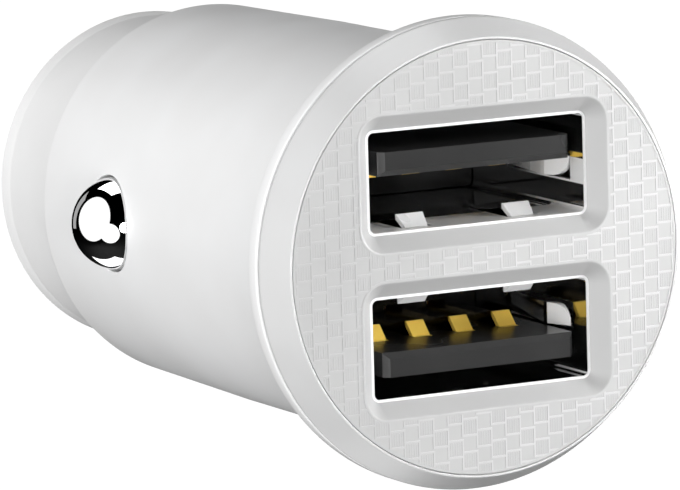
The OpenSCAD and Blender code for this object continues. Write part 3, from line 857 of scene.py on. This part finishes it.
def face():
    bm = bmesh.new()
    woven_front(bm)
    port_bevels(bm)
    rim = [(face_r - FACE_EDGE * (1 - math.sin(a)), face_y + FACE_EDGE * (1 - math.cos(a)))
           for a in quarter_turn(EDGE_STEPS)]
    revolve(bm, rim + [(face_r, mouth_y)], COLUMNS, closed=False)
    mouths = [bevel_contour(1, side) for side in (1, -1)]
    planar_faces(bm, [circle_loop(face_r, COLUMNS)], mouths, mouth_y)
    piece = finish_mesh("woven_face", bm, "housing",
                        ["face_white", "face_line", "face_hatch"], FINE_WELD)
    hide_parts("face_plate")


# Nose, tip, side contacts and their springs

def nose():
    bm = bmesh.new()
    wall_in = nose_r - nose_side_t
    spigot_in = spigot_r - nose_spigot_t
    low = nose_low[1]
    snap_y = barrel_len - rear_wall - fit
    outline = rounded([
        (spigot_r, barrel_len, 0), (nose_r, barrel_len, 0.08),
        (nose_r, nose_end_y - nose_band, 0.2), (nose_r + band_h, nose_end_y, 0.06),
        (tip_r + run, nose_end_y, 0.15), (tip_r + run, nose_end_y - nose_wall, 0.1),
        (wall_in, nose_end_y - nose_wall, 0.2), (wall_in, barrel_len + wall_in - spigot_in, 0.1),
        (spigot_in, barrel_len, 0.1), (spigot_in, low, 0.05), (spigot_r, low, 0.05),
        (spigot_r + snap_h, snap_y - snap_len, 0.05), (spigot_r + snap_h, snap_y, 0),
        (spigot_r, snap_y, 0),
    ])
    revolve(bm, outline, COLUMNS)
    piece = finish_mesh("nose_shell", bm, "housing", ["nose_white"])
    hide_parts("nose_cap")


def dome(centre, radius, steps):
    """A quarter circle of (r, y) points from the side of a ball to its top."""
    return [(radius * math.cos(a), centre + radius * math.sin(a)) for a in quarter_turn(steps)]


def tip():
    bm = bmesh.new()
    centre = tip_end_y - tip_r
    bore = tip_r - tip_wall
    flange_end = nose_end_y - nose_wall - tip_room
    start = tip_low[1]
    flange = rounded([
        (bore, start, 0.05), (tip_r + tip_flange_w, start, 0.1),
        (tip_r + tip_flange_w, flange_end, 0.1), (tip_r, flange_end, 0.1),
        (tip_r, centre, 0), (bore, centre, 0),
    ])
    outline = flange[:-2] + dome(centre, tip_r, steps=32) + [(0, centre), (bore, centre)]
    revolve(bm, outline, BALL_COLUMNS)
    piece = finish_mesh("tip_cap", bm, "tip", ["tip_nickel"])
    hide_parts("centre_tip")


def side_contact(name, node, body, side):
    bm = bmesh.new()
    centre = contact_high[0] - head_r
    low = contact_low[0]
    wall = head_r - head_wall
    skirt = rounded([
        (wall, low, 0.05), (skirt_r, low, 0.08), (skirt_r, low + skirt_t, 0.08),
        (head_r, low + skirt_t, 0.12), (head_r, centre, 0), (wall, centre, 0),
    ])
    outside = dome(centre, head_r, steps=40)
    inside = reversed(dome(centre, wall, steps=24))
    revolve(bm, skirt[:-2] + outside + list(inside), BALL_COLUMNS)
    turn = Matrix(((0, side, 0, 0), (1, 0, 0, contact_y), (0, 0, 1, 0), (0, 0, 0, 1)))
    bm.transform(turn)
    piece = finish_mesh(name, bm, body, ["contact_chrome"])
    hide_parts(node)


def coil_rise(turn, turns, wire_r, length):
    """How far the wire's middle has risen after some turns. The end turns are closed."""
    dead = closed_pitch * wire_r
    free = (length - 2 * wire_r - 2 * dead) / (turns - 2)
    if turn < 1:
        return wire_r + turn * dead
    if turn > turns - 1:
        return length - wire_r - (turns - turn) * dead
    return wire_r + dead + (turn - 1) * free


def spring(name, node, direction, wire_r, turns):
    """A coil spring in its CAD node's place, along a direction."""
    low, high = (Vector(c) for c in node_box(node))
    along = Vector(direction)
    length = abs(along.dot(high - low))
    start = (low + high) / 2 - along * (length / 2)
    across = Vector((0, 0, 1))
    third = across.cross(along)
    coil_r = (high.z - low.z) / 2 - wire_r
    bm = bmesh.new()
    rings = []
    for i in range(turns * COIL_STEPS + 1):
        turn = i / COIL_STEPS
        out = across * math.cos(2 * math.pi * turn) + third * math.sin(2 * math.pi * turn)
        middle = start + along * coil_rise(turn, turns, wire_r, length) + out * coil_r
        rings.append([bm.verts.new(middle + out * (wire_r * c) + along * (wire_r * s))
                      for c, s in circle_loop(1, WIRE_SIDES)])
    for a, b in zip(rings, rings[1:]):
        bridge(bm, a, b)
    bm.faces.new(rings[0])
    bm.faces.new(rings[-1])
    piece = finish_mesh(name, bm, "housing", ["spring_steel"], FINE_WELD)
    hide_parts(node)
    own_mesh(piece)


def soften(node, width):
    """Rounds the edges of a CAD node's own mesh in the render."""
    rounding = frame["nodes"][node].modifiers.new("soft_edges", "BEVEL")
    rounding.width = width * MM
    rounding.segments = 2
    rounding.limit_method = "ANGLE"
    rounding.angle_limit = SOFTENED_ANGLE
    rounding.harden_normals = True


barrel()
bezel()
face()
nose()
tip()
for name, side in (("right", 1), ("left", -1)):
    side_contact(f"contact_cap_{name}", f"side_contact_{name}", f"{name}_contact", side)
spring("tip_coil", "tip_spring", (0, 1, 0), tip_wire_r, tip_turns)
for name, side in (("right", 1), ("left", -1)):
    spring(f"side_coil_{name}", f"side_spring_{name}",
           (side, 0, 0), side_wire_r, side_turns)
for kind, width in (("shell", 0.04), ("insulator", 0.06), ("contacts", 0.03)):
    for level in ("upper", "lower"):
        soften(f"usb_{kind}_{level}", width)


# Floor, light and camera, in metres

FLOOR_SIZE = 6
FLOOR_Z = -0.6
FLOOR_DRIFT = 8
SEEN_WHITE = 1.05
MIDDLE = Vector((0, 0.015, 0))

# Lamps: direction from the object's middle, distance, size, power in watts and shape
LIGHTS = {
    "left_softbox": ((-0.968, 0.083, 0.229), 0.6, (1.24, 1.24), 4.2, "DISK"),
    "low_softbox": ((-0.72, -0.62, -0.3), 0.7, (0.62, 0.62), 1.2, "DISK"),
    "side_softbox": ((-0.93, -0.35, 0.1), 0.6, (0.3, 0.3), 1.1, "DISK"),
    "front_softbox": ((-0.2, -0.97, -0.07), 0.5, (0.22, 0.22), 1.75, "DISK"),
    "key_light": ((0.15, -0.63, 0.76), 0.6, (0.08, 0.08), 0.25, "DISK"),
    "right_light": ((0.8, -0.58, 0.15), 0.11, (0.05, 0.05), 0.17, "DISK"),
    "top_softbox": ((0.03, 0.32, 0.94), 0.6, (0.34, 0.5), 1.5, "RECTANGLE"),
    "bottom_softbox": ((-0.02, 0.38, -0.92), 0.5, (0.22, 0.45), 0.48, "RECTANGLE"),
    "back_softbox": ((-0.3, 0.94, 0.15), 0.6, (0.2, 0.4), 0.1, "RECTANGLE"),
}

# The photograph's viewpoint: it looks along +Y, 27.8 degrees to the right and 8.6 down.
CAMERA_PLACE = (-0.162968, -0.296301, 0.051582)
CAMERA_RIGHT = Vector((0.88243, -0.46963, -0.02769))
CAMERA_UP = Vector((0.09441, 0.11913, 0.98838))


def only_seen(tree):
    """White for what the camera sees directly, and none for the light that it gives."""
    path = tree.nodes.new("ShaderNodeLightPath")
    pick = tree.nodes.new("ShaderNodeMapRange")
    pick.inputs["To Max"].default_value = SEEN_WHITE
    tree.links.new(path.outputs["Is Camera Ray"], pick.inputs["Value"])
    return pick.outputs["Result"]


def pale_floor():
    material = bpy.data.materials.new("pale_floor")
    tree, shader = nodes_of(material)
    drift = object_noise(tree, FLOOR_DRIFT)
    base = blend_colour(tree, drift, grey(0.010), grey(0.014))
    tree.links.new(base, shader.inputs["Base Color"])
    shader.inputs["Roughness"].default_value = 0.9
    shader.inputs["Emission Color"].default_value = (1, 1, 1, 1)
    tree.links.new(only_seen(tree), shader.inputs["Emission Strength"])
    bm = bmesh.new()
    half = FLOOR_SIZE / 2
    corners = ((-half, -half, 0), (half, -half, 0), (half, half, 0), (-half, half, 0))
    bm.faces.new([bm.verts.new(p) for p in corners])
    mesh = bpy.data.meshes.new("floor")
    bm.to_mesh(mesh)
    bm.free()
    mesh.materials.append(material)
    plane = bpy.data.objects.new("floor", mesh)
    plane.location = (0, 0, FLOOR_Z)
    bpy.context.scene.collection.objects.link(plane)


def area_light(name, towards, distance, size, power, shape):
    """A lamp that faces the middle of the object from the given direction."""
    light = bpy.data.lights.new(name, "AREA")
    light.shape = shape
    light.size, light.size_y = size
    light.energy = power
    lamp = bpy.data.objects.new(name, light)
    lamp.location = MIDDLE + Vector(towards).normalized() * distance
    lamp.rotation_mode = "QUATERNION"
    lamp.rotation_quaternion = (MIDDLE - lamp.location).to_track_quat("-Z", "Y")
    bpy.context.scene.collection.objects.link(lamp)


def lights():
    world = bpy.data.worlds.new("studio")
    bpy.context.scene.world = world
    world.use_nodes = True
    tree = world.node_tree
    background = tree.nodes["Background"]
    background.inputs["Color"].default_value = (1, 1, 1, 1)
    tree.links.new(only_seen(tree), background.inputs["Strength"])
    for name, values in LIGHTS.items():
        area_light(name, *values)


def camera():
    lens = bpy.data.cameras.new("camera")
    lens.sensor_width = 36
    lens.lens = 353.3
    lens.clip_start = 0.01
    lens.clip_end = 20
    eye = bpy.data.objects.new("camera", lens)
    turn = Matrix((CAMERA_RIGHT, CAMERA_UP, CAMERA_RIGHT.cross(CAMERA_UP))).transposed()
    eye.matrix_world = Matrix.Translation(CAMERA_PLACE) @ turn.to_4x4()
    bpy.context.scene.collection.objects.link(eye)
    bpy.context.scene.camera = eye


pale_floor()
lights()
camera()
bpy.context.scene.view_settings.view_transform = "Standard"
